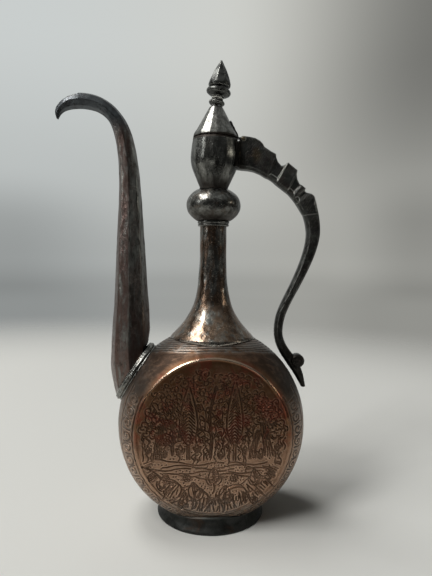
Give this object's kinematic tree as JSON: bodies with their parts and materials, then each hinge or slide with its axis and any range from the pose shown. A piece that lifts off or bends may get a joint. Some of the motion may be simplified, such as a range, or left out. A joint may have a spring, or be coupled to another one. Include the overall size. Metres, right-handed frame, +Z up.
{
  "type": "copper jug",
  "caption": "Tinned copper ewer: flattened flask body on a ring foot, tall neck, faceted mouth with a hinged lid and finial, hooked faceted spout and a carved strap handle.",
  "frame": {"origin": "middle of the whole object's footprint box, on the table that the foot ring stands on", "axes": "+Z up along the neck; the spout is towards -X, the handle towards +X; the flat medallions face -Y (front) and +Y (back)"},
  "size_m": [0.2207, 0.0906, 0.3801],
  "materials": {
    "bare_copper": "worn, brown, rubbed bright at the edges",
    "tinned_copper": "old tin over copper, grey and dull with bright edges",
    "dark_bronze": "near-black patina on cast metal",
    "yellow_brass": "worn rivet and pin ends"
  },
  "bodies": {
    "vessel": {"foot_ring": "dark_bronze", "base_disc": "bare_copper", "body_front": "bare_copper", "body_back": "bare_copper", "neck_tube": "bare_copper", "neck_collar": "tinned_copper", "knop": "tinned_copper", "spout_flange": "tinned_copper", "spout_tube": "tinned_copper", "mouth_cup": "tinned_copper", "handle": "dark_bronze", "handle_rivet_front": "yellow_brass", "handle_rivet_back": "yellow_brass", "hinge_pin": "yellow_brass"},
    "lid": {"lid_cone": "tinned_copper", "lid_bezel": "tinned_copper", "lid_leaf": "tinned_copper", "leaf_rivet_lower": "yellow_brass", "leaf_rivet_upper": "yellow_brass", "finial_ring": "dark_bronze", "finial_bead": "dark_bronze", "finial_pin": "yellow_brass", "finial_bud": "dark_bronze"}
  },
  "joints": [
    {"name": "lid_hinge", "type": "hinge", "parent": "vessel", "child": "lid", "pos_m": [0.04328, 0, 0.3149], "axis": [0, 1, 0], "range_deg": [0, 110]}
  ]
}
